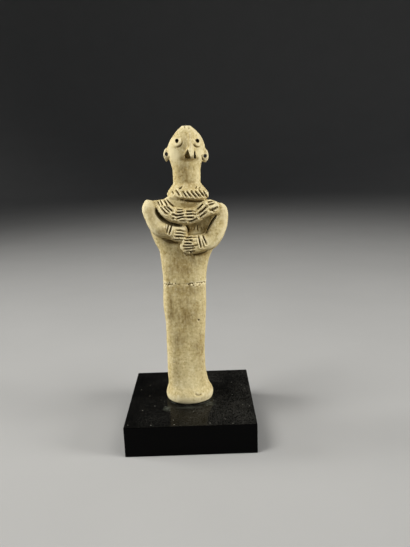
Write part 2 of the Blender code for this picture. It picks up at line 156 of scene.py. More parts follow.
# where the arms stop short of the necklace: the same five values as a roll
gaps = {
    "left": (
        (-14.3, -8.0, 110.7, 0.3, 3.4), (-14.0, -8.4, 108.8, 0.8, 4.2), (-13.1, -8.8, 107.0, 1.0, 5.0),
        (-11.6, -9.0, 105.0, 0.95, 5.5), (-9.3, -9.0, 103.2, 0.8, 5.4), (-6.5, -9.2, 101.8, 0.6, 5.0),
        (-3.2, -9.4, 100.9, 0.4, 4.4), (-1.0, -9.4, 100.6, 0.2, 3.6),
    ),
    "right": (
        (17.3, -8.6, 105.5, 0.25, 3.2), (16.2, -8.8, 104.0, 0.5, 4.2), (14.9, -9.0, 102.2, 0.55, 4.7),
        (13.7, -9.2, 100.2, 0.42, 4.6), (12.7, -9.6, 98.3, 0.3, 4.0), (12.1, -9.8, 96.8, 0.2, 3.4),
    ),
}

# each pellet: across, up, and how far it leans out across and up
eyes = {
    "pellets": ((-1.75, 143.6, -0.24, 0.13), (8.65, 143.3, 0.2, 0.13)),
    "radius": 2.6,
    "swell": 0.66,
    "sunk": 0.22,
    "profile": ((0.96, -1.0), (1.0, 0.2), (0.97, 0.55), (0.9, 0.85), (0.8, 0.98), (0.5, 1.0)),
    "holes": ((-1.8, 144.1), (8.8, 143.8)),
    "holeRadius": 0.84,
    "innerRadius": 0.55,
    "holeDepth": 3.2,
}

clayBody = {
    "fuseStep": 0.22,
    "finishStep": 0.2,
    "mostTriangles": 192000,
    "blend": (0.5, 0.38),   # how far a join is rubbed over, and how much less round the hands
    "crispBetween": (84.0, 104.0),
    "rub": (45, 0.6),       # how many times, and how hard, a fingertip rubs a join away
    "seed": 7,
    # how far the surface goes in or out: wide dents, dabs, small dabs, streaks
    "dents": 0.2,
    "dabs": 0.1,
    "smallDabs": 0.035,
    "streaks": 0.08,
    "calmAbove": (113.5, 0.75),     # above this height dents and dabs keep this share
    "pressedFlat": 0.32,            # how far the pillar's front is pressed in down its middle
    "strayPits": 240,
    "cutSoilAndShade": (0.85, 0.2, 0.45),   # soil and painted shade left in the holes, nostrils and slots
    "soilAndShadeReach": 0.4,               # how far it spreads past their walls
    "backDarkening": 0.3,
    # painted shade on faces turned down
    "underShade": 0.9,
}

# forms rubbed into each other with a fingertip: across, up, reach
rubbedJoins = (
    (4.4, 96.1, 2.2), (7.4, 96.1, 2.2), (-3.4, 145.4, 2.4), (10.4, 144.8, 2.2), (8.4, 146.4, 1.6),
)


def fairCurve(knots, values, at):
    # a cubic through the stations that never swells past them
    gap = np.diff(knots)
    rise = np.diff(values) / gap
    slope = np.zeros(len(knots))
    sameWay = rise[:-1] * rise[1:] > 0
    low, high = rise[:-1][sameWay], rise[1:][sameWay]
    slope[1:-1][sameWay] = 2 * low * high / (low + high)
    slope[0], slope[-1] = rise[0], rise[-1]
    i = np.clip(np.searchsorted(knots, at) - 1, 0, len(gap) - 1)
    t = (at - knots[i]) / gap[i]
    startPart = (1 + 2 * t) * (1 - t) ** 2 * values[i] + t * (1 - t) ** 2 * gap[i] * slope[i]
    endPart = t**2 * (3 - 2 * t) * values[i + 1] + t**2 * (t - 1) * gap[i] * slope[i + 1]
    return startPart + endPart


def fairStations(stations, knots, step):
    table = np.array(stations, float)
    at = np.linspace(knots[0], knots[-1], max(2, int((knots[-1] - knots[0]) / step) + 1))
    return np.stack([fairCurve(knots, column, at) for column in table.T], axis=1)


def anglesRound(sides):
    return np.linspace(0, 2 * math.pi, sides, endpoint=False)


def roundPoints(sides, squareness):
    angle = anglesRound(sides)
    power = 2 / squareness
    x = np.sign(np.cos(angle)) * np.abs(np.cos(angle)) ** power
    y = np.sign(np.sin(angle)) * np.abs(np.sin(angle)) ** power
    return x, y


def closeRings(rings):
    # equal rings of points into one closed skin
    count, sides = rings.shape[:2]
    low = np.arange(count - 1)[:, None] * sides + np.arange(sides)[None, :]
    near = np.arange(count - 1)[:, None] * sides + (np.arange(sides)[None, :] + 1) % sides
    quads = np.stack([low, near, near + sides, low + sides], axis=-1).reshape(-1, 4)
    caps = [list(range(sides))[::-1], list(range((count - 1) * sides, count * sides))]
    return rings.reshape(-1, 3), quads.tolist() + caps


def stackedClay(sections, sides=96, step=0.7):
    knots = np.array([s[0] for s in sections], float)
    rings = []
    for z, middle, half, front, behind, squareness in fairStations(sections, knots, step):
        x, y = roundPoints(sides, squareness)
        depth = np.where(y > 0, behind, front)
        rings.append(np.stack([middle + half * x, depth * y, np.full(sides, z)], axis=1))
    return closeRings(np.array(rings))


def rolledClay(stations, sides=48, step=0.5, squareness=2.7):
    places = np.array(stations, float)[:, :3]
    reach = np.linalg.norm(np.diff(places, axis=0), axis=1)
    fair = fairStations(stations, np.concatenate([[0.0], np.cumsum(reach)]), step)
    middles = fair[:, :3]
    along = np.gradient(middles, axis=0)
    along /= np.linalg.norm(along, axis=1, keepdims=True)
    across = np.cross(along, (0.0, -1.0, 0.0))
    across /= np.linalg.norm(across, axis=1, keepdims=True)
    outward = np.cross(across, along)
    x, y = roundPoints(sides, squareness)
    wide = across[:, None, :] * (fair[:, 3, None] * x)[:, :, None]
    thick = outward[:, None, :] * (fair[:, 4, None] * y)[:, :, None]
    return closeRings(middles[:, None, :] + wide + thick)


def pelletClay(place, normal, lean, sides=40):
    normal = (normal + Vector((lean[0], 0.0, lean[1]))).normalized()
    angle = anglesRound(sides)
    rings = []
    for reach, height in eyes["profile"]:
        out = reach * eyes["radius"]
        flat = np.full(sides, height * eyes["swell"])
        rings.append(np.stack([out * np.cos(angle), out * np.sin(angle), flat], axis=1))
    points, faces = closeRings(np.array(rings))
    turn = np.array(normal.to_track_quat("Z", "Y").to_matrix())
    return points @ turn.T + np.array(place - normal * eyes["sunk"]), faces


def taperedHole(place, radius, innerRadius, inFront, behind, sides=24):
    # a hand-pierced hole along Y, a little out of round
    angle = anglesRound(sides)
    wobble = 1 + 0.07 * np.sin(2 * angle + place[0]) + 0.04 * np.sin(3 * angle)
    rings = []
    for depth, size in ((-inFront, radius), (0.0, radius), (behind, innerRadius)):
        x = place[0] + size * wobble * np.cos(angle)
        z = place[2] + size * wobble * np.sin(angle)
        rings.append(np.stack([x, np.full(sides, place[1] + depth), z], axis=1))
    return closeRings(np.array(rings))


def nostrilHole(end, *mouth):
    corners = np.array(mouth)
    middle = corners.mean(axis=0)
    inner = middle + (corners - middle) * nose["taper"]
    rings = [[(x, y, z) for x, z in ring] for ring, y in ((corners, nose["inFront"]), (inner, end))]
    return closeRings(np.array(rings))


def joined(lumps):
    points, faces, offset = [], [], 0
    for somePoints, someFaces in lumps:
        points.append(somePoints)
        faces += [[i + offset for i in face] for face in someFaces]
        offset += len(somePoints)
    return np.concatenate(points), faces


def meshPiece(name, points, faces):
    mesh = bpy.data.meshes.new(name)
    mesh.from_pydata(points.tolist(), [], faces)
    bm = bmesh.new()
    bm.from_mesh(mesh)
    bmesh.ops.recalc_face_normals(bm, faces=bm.faces)
    bm.to_mesh(mesh)
    bm.free()
    piece = bpy.data.objects.new(name, mesh)
    bpy.context.scene.collection.objects.link(piece)
    return piece


def applyModifiers(piece):
    graph = bpy.context.evaluated_depsgraph_get()
    mesh = bpy.data.meshes.new_from_object(piece.evaluated_get(graph))
    piece.modifiers.clear()
    old = piece.data
    piece.data = mesh
    bpy.data.meshes.remove(old)


def pointsOf(mesh):
    points = np.empty(len(mesh.vertices) * 3, np.float32)
    mesh.vertices.foreach_get("co", points)
    return points.reshape(-1, 3).astype(float)


def normalsOf(mesh):
    normals = np.empty(len(mesh.vertices) * 3, np.float32)
    mesh.vertex_normals.foreach_get("vector", normals)
    return normals.reshape(-1, 3).astype(float)


def edgesOf(mesh):
    ends = np.empty(len(mesh.edges) * 2, np.int32)
    mesh.edges.foreach_get("vertices", ends)
    return ends.reshape(-1, 2)


def setPoints(mesh, points):
    mesh.vertices.foreach_set("co", points.astype(np.float32).ravel())
    mesh.update()


def smoothStep(low, high, x):
    t = np.clip((x - low) / (high - low), 0, 1)
    return t * t * (3 - 2 * t)


def relax(points, edges, times, share=0.5):
    # each point moves part of the way to the mean of its neighbours
    count = len(points)
    ends = np.concatenate([edges[:, 0], edges[:, 1]])
    others = np.concatenate([edges[:, 1], edges[:, 0]])
    degree = np.maximum(np.bincount(ends, minlength=count), 1)
    for _ in range(times):
        sums = [np.bincount(ends, points[others, k], minlength=count) for k in range(3)]
        points = points + share * (np.stack(sums, axis=1) / degree[:, None] - points)
    return points


def noiseAt(points, stretch, seed):
    # soft noise from -1 to 1, one swell about as long as stretch
    shift = Vector((seed * 17.3, seed * 5.9, seed * 11.1))
    return np.array([noise.noise(Vector(p) + shift) for p in points / np.array(stretch)])


def castForward(tree, x, z):
    place, normal, _, _ = tree.ray_cast(Vector((x, -60.0, z)), Vector((0.0, 1.0, 0.0)))
    return place, normal


def fuse(clay, step, times):
    remesh = clay.modifiers.new("Fused clay", "REMESH")
    remesh.mode = "VOXEL"
    remesh.voxel_size = step
    applyModifiers(clay)
    setPoints(clay.data, relax(pointsOf(clay.data), edgesOf(clay.data), times))


def blendJoins(clay):
    # wet clay is rubbed into the corner where a roll meets the body
    mesh = clay.data
    points, normals, edges = pointsOf(mesh), normalsOf(mesh), edgesOf(mesh)
    hollow = ((relax(points, edges, 14) - points) * normals).sum(axis=1)
    low, high = clayBody["crispBetween"]
    z = points[:, 2]
    crisp = smoothStep(low - 2, low + 1, z) * smoothStep(high + 4, high, z) * (points[:, 1] < 0)
    share, less = clayBody["blend"]
    wet = (smoothStep(0.03, 0.2, hollow) * (share - less * crisp))[:, None]
    points = relax(points, edges, 18, share=wet)
    setPoints(mesh, points)


def rubJoins(clay):
    mesh = clay.data
    points, normals, edges = pointsOf(mesh), normalsOf(mesh), edgesOf(mesh)
    rubbed = np.zeros(len(points))
    for across, up, reach in rubbedJoins:
        away = np.hypot(points[:, 0] - across, points[:, 2] - up) / reach
        rubbed = np.maximum(rubbed, np.exp(-(away**4)) * smoothStep(0.0, 0.3, -normals[:, 1]))
    times, share = clayBody["rub"]
    setPoints(mesh, relax(points, edges, times, share=share * rubbed[:, None]))


def carve(clay, name, operation, lumps):
    tool = meshPiece(name, *joined(lumps))
    cut = clay.modifiers.new(name, "BOOLEAN")
    cut.operation = operation
    cut.solver = "MANIFOLD"
    cut.object = tool
    applyModifiers(clay)
    return tool


def shapeClay():
    lump = stackedClay(pillar["sections"])
    rolls = [rolledClay(roll["stations"]) for roll in (leftArm, rightArm, necklace, chest)]
    rolls += [rolledClay(ears[side], sides=32, step=0.3) for side in ("left", "right")]
    stacks = [lump] + [stackedClay(p["sections"], step=0.4) for p in (collar, nose)]
    clay = meshPiece("clay_statuette", *joined(stacks + rolls))
    fuse(clay, clayBody["fuseStep"], 5)
    blendJoins(clay)
    tell("rolls fused")

    bare = meshPiece("bare_lump", *lump)
    face = BVHTree.FromObject(bare, bpy.context.evaluated_depsgraph_get())
    pellets = [pelletClay(*castForward(face, x, z), lean) for x, z, *lean in eyes["pellets"]]
    bpy.data.objects.remove(bare, do_unlink=True)
    bpy.data.objects.remove(carve(clay, "eye_pellets", "UNION", pellets), do_unlink=True)
    fuse(clay, clayBody["fuseStep"], 2)
    rubJoins(clay)

    front = BVHTree.FromObject(clay, bpy.context.evaluated_depsgraph_get())
    nostrils = [nostrilHole(*nostril) for nostril in nose["nostrils"]]
    holes = []
    for x, z in eyes["holes"]:
        place, _ = castForward(front, x, z)
        holes.append(taperedHole(place, eyes["holeRadius"], eyes["innerRadius"], 3.0, eyes["holeDepth"]))
    for x, z in ears["holes"]:
        holes.append(taperedHole((x, 0.0, z), ears["holeRadius"], ears["holeRadius"], 8.0, 8.0))
    slots = [rolledClay(gaps[side], sides=24, squareness=2.2) for side in ("left", "right")]
    cuts = (("hole_tool", holes), ("nostril_tool", nostrils), ("slot_tool", slots))
    tools = [carve(clay, name, "DIFFERENCE", lumps) for name, lumps in cuts]
    fuse(clay, clayBody["finishStep"], 3)
    graph = bpy.context.evaluated_depsgraph_get()
    trees = [BVHTree.FromObject(tool, graph) for tool in tools]
    for tool in tools:
        bpy.data.objects.remove(tool, do_unlink=True)
    tell("holes made, " + str(len(clay.data.vertices)) + " points")
    return clay, trees


# strokes made with the edge of a tool: width, depth, how dark the soil and painted shade in them is,
# then the runs, each with its strength and the places it goes through, across and up
toolMarks = {
    "collar": (1.1, 1.3, 1.0, (
        (0.7, (-5.6, 118.8), (-4.7, 117.5)),
        (1.05, (-3.0, 118.8), (-1.4, 116.6)),
        (0.4, (-0.4, 118.3), (0.6, 116.2)),
        (1.0, (0.5, 118.3), (2.2, 115.9)),
        (1.15, (2.5, 118.2), (4.3, 116.0)),
        (1.1, (4.7, 118.4), (7.0, 115.4)),
        (1.1, (6.7, 118.4), (9.0, 115.6)),
        (1.15, (8.9, 118.7), (11.3, 115.4)),
        (1.15, (11.1, 118.1), (12.8, 114.6)),
        (0.55, (7.6, 121.0), (6.9, 119.5)),
        (0.55, (9.4, 120.5), (8.6, 119.3)),
        (0.8, (-1.6, 119.9), (-0.2, 120.6)),
        (0.4, (-8.0, 118.0), (-7.2, 116.6)),
        (0.3, (-6.6, 119.2), (-6.3, 117.6)),
    )),
    "necklaceLeft": (1.15, 1.35, 1.0, (
        (0.85, (-13.6, 113.6), (-12.2, 111.6)),
        (1.0, (-12.2, 114.2), (-10.6, 111.8)),
        (1.1, (-9.5, 114.0), (-8.1, 111.7)),
        (0.85, (-11.2, 110.4), (-8.8, 107.6)),
        (0.8, (-10.0, 111.2), (-8.4, 109.6), (-6.8, 108.1)),
        (1.25, (-8.4, 111.2), (-5.4, 108.6)),
        (0.5, (-9.3, 107.9), (-7.4, 107.1)),
        (0.7, (-8.2, 114.4), (-6.4, 112.2), (-4.6, 110.6)),
    )),
    "necklaceFront": (1.1, 1.35, 1.0, (
        (0.8, (-3.3, 109.5), (0.2, 109.4)),
        (1.05, (-3.4, 108.1), (-1.6, 108.0), (0.3, 108.4)),
        (1.1, (-5.5, 107.2), (-3.4, 106.3), (0.0, 106.7)),
        (0.95, (-3.4, 104.7), (-0.6, 105.4), (0.8, 105.3)),
        (0.5, (-1.8, 103.7), (0.8, 103.6)),
        (0.5, (-5.6, 104.8), (-4.7, 105.0)),
        (1.0, (1.6, 108.4), (4.9, 108.4)),
        (1.1, (1.6, 106.9), (5.0, 107.1)),
        (1.1, (1.8, 105.3), (5.2, 105.2)),
        (1.1, (2.7, 103.0), (4.8, 103.5), (6.8, 104.4)),
        (0.45, (5.4, 108.2), (6.9, 108.3)),
        (0.45, (5.4, 106.7), (6.9, 106.7)),
    )),
    "necklaceRight": (1.2, 1.4, 1.0, (
        (1.0, (7.2, 109.1), (9.0, 110.6), (10.7, 112.3)),
        (1.2, (7.8, 107.0), (10.0, 108.5), (12.4, 110.5)),
        (1.0, (8.6, 105.1), (11.7, 107.6)),
        (0.5, (9.5, 104.1), (10.5, 104.3)),
        (0.8, (12.9, 112.6), (15.9, 113.1)),
        (0.9, (13.3, 111.2), (16.3, 111.9)),
        (1.2, (14.0, 108.6), (15.4, 108.3), (15.9, 107.8)),
        (1.3, (15.2, 109.0), (16.2, 108.9), (17.7, 109.6)),
        (0.4, (18.1, 105.9), (16.4, 105.2)),
    )),
    "leftHand": (1.1, 1.3, 1.0, (
        (0.8, (-7.9, 101.9), (-8.3, 99.9), (-9.0, 97.6)),
        (1.3, (-6.1, 101.8), (-6.8, 99.6), (-7.7, 97.0)),
        (0.4, (-9.3, 101.5), (-9.5, 98.4)),
        (0.6, (-4.0, 98.6), (-1.7, 98.5), (0.4, 97.8)),
        (0.7, (-4.2, 97.1), (-1.7, 97.0), (0.3, 96.4)),
        (1.2, (-4.6, 95.5), (-1.3, 95.3)),
        (0.6, (-1.3, 95.3), (0.4, 95.0)),
        (1.35, (-5.5, 93.7), (-3.0, 93.7), (-1.4, 93.6)),
    )),
    "rightHand": (1.05, 1.3, 1.0, (
        (1.1, (1.0, 94.6), (3.6, 94.7)),
        (0.6, (3.6, 94.7), (6.8, 94.6)),
        (0.9, (0.4, 93.2), (2.2, 93.2)),
        (1.2, (2.9, 93.3), (4.0, 93.1)),
        (1.2, (0.3, 91.7), (3.4, 91.6)),
        (1.35, (-0.2, 90.2), (4.2, 90.2)),
        (0.5, (4.0, 90.2), (7.2, 90.6)),
        (1.05, (0.2, 88.7), (2.4, 88.8), (5.0, 89.2)),
        (0.7, (1.0, 87.5), (4.9, 87.4)),
        (0.3, (3.9, 92.4), (6.8, 92.8)),
        (1.4, (-0.1, 86.6), (0.3, 85.8)),
        (1.5, (3.2, 87.0), (3.3, 86.2)),
        (1.5, (7.6, 95.0), (8.1, 92.3), (8.7, 89.6)),
        (0.35, (9.2, 94.0), (10.4, 89.2)),
        (1.1, (9.9, 95.2), (10.7, 93.1), (11.6, 91.0)),
    )),
    # shallow creases along the hands' outlines, darkened as painted shadow
    "handEdges": (1.5, 0.55, 0.7, (
        (0.9, (-1.4, 92.6), (-2.4, 91.2)),
        (0.4, (-2.4, 91.2), (-2.9, 90.0), (-2.1, 88.0), (-0.9, 86.4)),
        (0.5, (-0.7, 86.2), (1.0, 84.8), (3.7, 84.4)),
        (1.0, (-9.7, 92.9), (-7.5, 92.7), (-5.5, 91.8), (-2.6, 91.2)),
        (0.8, (-5.8, 101.5), (-3.0, 101.3), (-0.1, 100.8)),
        (1.2, (1.0, 100.6), (1.9, 99.2), (2.1, 97.8), (1.6, 96.4)),
    )),
    # painted shadow, with a little soil, in the corners under the forearms and beside the right arm, cut
    # as shallow creases
    "paintedCornerShadows": (3.2, 0.3, 0.95, (
        (0.8, (3.6, 84.9), (6.3, 85.1), (8.2, 85.4), (10.6, 86.2), (13.2, 87.5)),
        (0.5, (13.3, 100.3), (12.4, 97.5), (11.6, 95.8)),
        (0.45, (0.9, 100.3), (3.2, 100.1), (6.0, 100.5), (10.2, 101.8)),
        (0.7, (1.8, 99.4), (2.4, 97.6)),
        (0.6, (-12.5, 94.5), (-9.5, 92.6), (-5.0, 91.2)),
    )),
    "chest": (0.8, 0.35, 0.9, (
        (1.0, (7.2, 100.4), (7.1, 97.5)),
        (0.7, (5.9, 99.6), (5.0, 97.6)),
        (0.6, (9.2, 99.6), (9.6, 97.4)),
        (0.5, (4.2, 99.8), (3.4, 97.8)),
        (0.5, (10.4, 99.4), (10.9, 97.6)),
    )),
    "crown": (1.1, 0.45, 0.45, (
        (0.9, (2.2, 151.4), (2.5, 150.2)),
        (0.9, (4.2, 151.2), (4.7, 149.8)),
        (0.5, (0.9, 150.5), (0.7, 149.4)),
    )),
    # grooves round the lower edges of the eye pellets, darkened as painted shadow crescents
    "pelletEdges": (0.75, 0.4, 0.75, (
        (0.5, (0.8, 145.0), (0.95, 144.0)),
        (1.0, (0.95, 144.0), (0.8, 142.6), (0.1, 141.5), (-1.4, 140.9)),
        (1.0, (6.3, 142.6), (6.9, 141.4), (7.8, 140.7), (9.0, 140.5)),
        (0.3, (6.2, 144.6), (6.2, 142.8)),
    )),
    # a crease under the collar's lower edge, darkened as painted shadow
    "collarUnder": (1.8, 0.8, 1.0, (
        (0.3, (-6.9, 115.3), (-4.4, 114.6), (-1.4, 114.4)),
        (0.6, (-1.4, 114.4), (0.6, 114.1)),
        (1.0, (0.5, 114.1), (3.5, 113.5), (6.5, 113.1), (9.5, 113.2), (12.0, 113.5)),
    )),
    # a shallow crease down the sides of the nose, darkened as painted shade
    "noseSide": (1.5, 0.3, 0.4, (
        (0.7, (3.9, 140.4), (4.0, 141.8), (3.8, 143.6)),
        (0.5, (7.2, 142.2), (7.1, 140.6)),
    )),
    "neckSmears": (1.6, 0.22, 0.2, (
        (0.9, (3.2, 129.8), (4.4, 129.5), (5.6, 129.7)),
        (0.6, (-1.5, 127.6), (0.6, 130.2), (1.6, 131.6)),
        (0.5, (1.0, 123.4), (4.0, 122.6), (7.0, 123.0)),
    )),
    "earCrease": (0.8, 0.7, 0.7, (
        (1.1, (10.8, 136.6), (10.8, 134.9), (11.7, 133.4)),
        (0.6, (-6.2, 136.4), (-6.5, 134.9)),
    )),
    "nailMark": (1.4, 0.3, 0.55, (
        (0.9, (2.4, 6.4), (3.4, 5.4), (4.8, 5.0), (6.6, 5.6)),
    )),
}
# how far a stroke is pressed from the front, against square to the clay, and the
# shares of its depth in the cut, in the dip round it and in the lip pushed up
stroke = {
    "fromFront": 2.0,
    "cut": 0.66,
    "dip": 0.34,
    "lip": 0.17,
    "step": 0.15,
    "acrossTool": 0.84,   # 1 for measured wholly across the tool
    "faintEnd": 0.3,      # of its depth, what is left at a run's two ends
}

# single pits: across, up, radius, depth
pits = (
    (6.0, 48.4, 0.75, 0.65), (7.3, 59.3, 0.55, 0.25), (6.1, 40.2, 0.5, 0.3), (-8.6, 24.0, 0.6, 0.3),
    (-5.2, 104.9, 0.6, 0.5), (8.0, 124.6, 0.6, 0.2), (5.6, 122.9, 0.5, 0.15), (-1.0, 139.3, 0.45, 0.2),
    (-2.6, 140.4, 0.45, 0.25), (-2.4, 91.0, 0.8, 0.6), (0.6, 84.8, 0.6, 0.4),
)

# the old break at the waist: how strong it shows across the front, and behind
waistMend = {
    "height": 69.0,
    "wander": 0.5,
    "halfWidth": 0.85,
    "depth": 0.5,
    "shows": ((-13.0, 0.9), (-10.0, 1.0), (-7.0, 0.5), (-5.5, 0.15),
              (-0.5, 0.2), (1.0, 0.9), (10.5, 1.0)),
    "behind": 0.45,
    "soilAndShade": 0.7,
    "crumbs": 110,
    "crumbRadius": (0.35, 0.75),
    "crumbHeight": 0.24,
    "pitShare": 0.45,   # of the crumbs, those that have fallen out
    "pitDepth": 0.38,
}


def pressStroke(points, normals, soilAndShade, tree, run, width, depth, darkening):
    # a V pressed along the run, with a little clay pushed up on both sides
    strength, *corners = run
    corners = np.array(corners, float)
    reach = np.concatenate([[0.0], np.cumsum(np.linalg.norm(np.diff(corners, axis=0), axis=1))])
    at = np.linspace(0, reach[-1], max(6, int(reach[-1] / stroke["step"])))
    line, outward, share = [], [], []
    for x, z, t in zip(np.interp(at, reach, corners[:, 0]), np.interp(at, reach, corners[:, 1]), at):
        place, normal = castForward(tree, x, z)
        if place is not None:
            line.append(place)
            outward.append(normal)
            share.append(t / reach[-1])
    if not line:
        return
    line, share = np.array(line), np.array(share)
    outward = np.array(outward).mean(axis=0)
    outward = outward / np.linalg.norm(outward) + (0.0, -stroke["fromFront"], 0.0)
    outward /= np.linalg.norm(outward)
    half = width / 2
    low, high = line.min(axis=0) - 2 * width, line.max(axis=0) + 2 * width
    near = np.nonzero(((points > low) & (points < high)).all(axis=1))[0]
    apart = points[near, None, :] - line[None, :, :]
    # measured mostly across the tool, so that a slanting face is cut as wide as a flat one
    distance = np.sqrt((apart**2).sum(axis=2) - stroke["acrossTool"] * (apart @ outward) ** 2)
    closest = distance.argmin(axis=1)
    distance = distance[np.arange(len(near)), closest]
    along = share[closest]
    ends = smoothStep(0.0, 0.14, along) * smoothStep(0.0, 0.2, 1 - along)
    fade = stroke["faintEnd"] + (1 - stroke["faintEnd"]) * ends
    core = np.clip(1 - (distance / half) ** 1.4, 0, 1) * fade
    valley = np.exp(-((distance / (1.15 * half)) ** 2))
    lip = np.exp(-(((distance - 1.75 * half) / (0.5 * half)) ** 2))
    facing = np.clip(normals[near] @ outward * 2.5, 0, 1)
    shape = stroke["lip"] * lip - stroke["cut"] * core - stroke["dip"] * valley
    push = strength * depth * shape * facing
    points[near] += outward[None, :] * push[:, None]
    # the cut is darkened: soil and painted shade in the groove
    dark = smoothStep(0.1, 0.95, core * facing) * min(1.0, strength * darkening)
    soilAndShade[near] = np.maximum(soilAndShade[near], dark)


def pressPit(points, normals, soilAndShade, centre, radius, depth):
    near = np.nonzero((np.abs(points - np.array(centre)) < radius).all(axis=1))[0]
    away = np.linalg.norm(points[near] - np.array(centre), axis=1) / radius
    inside = np.clip(1 - away**2, 0, 1)
    points[near] -= normals[near] * (depth * inside)[:, None]
    # the pit is darkened: soil and painted shade
    soilAndShade[near] = np.maximum(soilAndShade[near], inside * min(0.9, depth / 0.78))


def mendLine(points, normals, soilAndShade, random):
    # a glued break that runs right round, with crumbs of filler standing in it
    near = np.nonzero(np.abs(points[:, 2] - waistMend["height"]) < 2.2)[0]
    x, y, z = points[near].T
    ring = np.stack([x, y, np.zeros(len(near))], axis=1)
    level = waistMend["height"] + waistMend["wander"] * noiseAt(ring, (3.2, 3.2, 1.0), 21)
    across, front = np.array(waistMend["shows"]).T
    shows = np.where(y < 0, np.interp(x, across, front), waistMend["behind"])
    broken = smoothStep(-0.35, 0.1, noiseAt(ring, (1.1, 1.1, 1.0), 22))
    inside = np.clip(1 - (np.abs(z - level) / waistMend["halfWidth"]) ** 1.6, 0, 1)
    amount = inside * shows * (0.2 + 0.8 * broken)
    points[near] -= normals[near] * (waistMend["depth"] * amount)[:, None]
    soilAndShade[near] = np.maximum(soilAndShade[near], waistMend["soilAndShade"] * amount)
    crumb = np.zeros(len(points))
    chances = shows**2 * np.exp(-(((z - level) / 0.7) ** 2))
    for i in random.choice(near, waistMend["crumbs"], replace=False, p=chances / chances.sum()):
        radius = random.uniform(*waistMend["crumbRadius"])
        close = near[(np.abs(points[near] - points[i]) < radius).all(axis=1)]
        away = np.linalg.norm(points[close] - points[i], axis=1) / radius
        if random.random() < waistMend["pitShare"]:
            pressPit(points, normals, soilAndShade, points[i].copy(), radius, waistMend["pitDepth"])
        else:
            height = waistMend["crumbHeight"] * np.clip(1 - away**2, 0, 1)
            points[close] += normals[close] * height[:, None]
            crumb[close] = np.maximum(crumb[close], np.clip(1.7 - 1.7 * away, 0, 1))
    soilAndShade *= 1 - crumb
    return crumb


def workSurface(clay, cutTrees):
    mesh = clay.data
    points, normals = pointsOf(mesh), normalsOf(mesh)
    soilAndShade = np.zeros(len(points))
    # the walls of the holes, nostrils and slots are darkened: soil and painted shade in the recesses
    for i, point in enumerate(points):
        for tree, darkening in zip(cutTrees, clayBody["cutSoilAndShade"]):
            _, _, _, apart = tree.find_nearest(Vector(point), clayBody["soilAndShadeReach"])
            if apart is not None:
                soilAndShade[i] = max(soilAndShade[i], darkening * smoothStep(0.1, 0.75, 1 - apart / clayBody["soilAndShadeReach"]))
    z = points[:, 2]
    onPillar = smoothStep(90, 80, z)
    dents = noiseAt(points, (7.5, 7.5, 11.0), 1) * clayBody["dents"]
    dabs = noiseAt(points, (2.8, 2.8, 3.6), 2) * clayBody["dabs"]
    dabs += noiseAt(points, (1.1, 1.1, 1.3), 4) * clayBody["smallDabs"]
    streaks = noiseAt(points, (1.5, 1.5, 15.0), 3) * clayBody["streaks"] * onPillar
    neckLevel, share = clayBody["calmAbove"]
    calm = np.where(z > neckLevel, share, 1.0)
    facesFront = smoothStep(0.55, 0.95, -normals[:, 1]) * smoothStep(5, 12, z) * onPillar
    pressed = clayBody["pressedFlat"] * facesFront * np.exp(-(((points[:, 0] + 1.4) / 6.5) ** 4))
    points += normals * ((dents + dabs) * calm + streaks - pressed)[:, None]
    setPoints(mesh, points)
    normals = normalsOf(mesh)
    tell("surface worked")

    tree = BVHTree.FromObject(clay, bpy.context.evaluated_depsgraph_get())
    for width, depth, darkening, runs in toolMarks.values():
        for run in runs:
            pressStroke(points, normals, soilAndShade, tree, run, width, depth, darkening)
    for x, up, radius, depth in pits:
        place, _ = castForward(tree, x, up)
        pressPit(points, normals, soilAndShade, place, radius, depth)
    random = np.random.default_rng(clayBody["seed"])
    crumb = mendLine(points, normals, soilAndShade, random)
    for i in random.choice(len(points), clayBody["strayPits"], replace=False):
        radius, depth = random.uniform(0.3, 0.65), random.uniform(0.05, 0.2)
        pressPit(points, normals, soilAndShade, points[i].copy(), radius, depth)
    setPoints(mesh, relax(points, edgesOf(mesh), 1, share=0.3))
    tell("tool marks cut")
    return soilAndShade, crumb


# places where soil has stayed, and painted shadows under the nose, necklace, collar and forearms: across,
# up, half width, half height, strength
stainsAndShadows = (
    (1.4, 127.5, 4.2, 6.5, 0.72), (4.6, 122.5, 4.0, 3.0, 0.6), (4.0, 135.0, 4.4, 1.4, 1.7),
    (1.2, 135.3, 1.7, 1.3, 1.8), (8.3, 135.2, 1.3, 1.2, 1.3), (2.6, 140.6, 1.1, 3.0, 0.45),
    (4.9, 144.5, 1.4, 5.0, 0.5), (6.5, 99.8, 6.4, 4.2, 0.88), (11.6, 97.6, 2.6, 3.4, 1.0),
    (2.2, 98.4, 1.8, 3.2, 1.4), (0.0, 83.0, 13.0, 9.0, 0.68), (8.0, 85.6, 6.6, 2.0, 1.25),
    (-6.0, 91.6, 5.0, 1.8, 0.8), (-10.5, 93.8, 3.5, 1.2, 0.6), (-17.0, 108.0, 4.0, 5.0, 0.5),
    (20.5, 107.0, 3.0, 5.0, 0.5), (-1.0, 65.5, 10.5, 4.5, 0.7), (-1.0, 52.0, 8.0, 13.0, 0.72),
    (-4.8, 38.0, 4.0, 8.0, 0.72), (4.0, 32.0, 3.6, 12.0, 0.45), (-6.5, 20.0, 3.0, 9.0, 0.3),
    (3.4, 111.8, 8.0, 3.2, 0.75), (-11.4, 98.0, 3.0, 2.4, 0.95), (-2.5, 77.0, 10.0, 7.0, 0.7),
    (6.5, 30.0, 2.2, 17.0, 0.6), (-8.6, 56.0, 2.0, 11.0, 0.75), (8.5, 52.0, 0.9, 22.0, 0.4),
    (-9.6, 56.0, 1.9, 20.0, 0.7),
)
stainAndShadeStretch = (2.2, 2.2, 4.2)
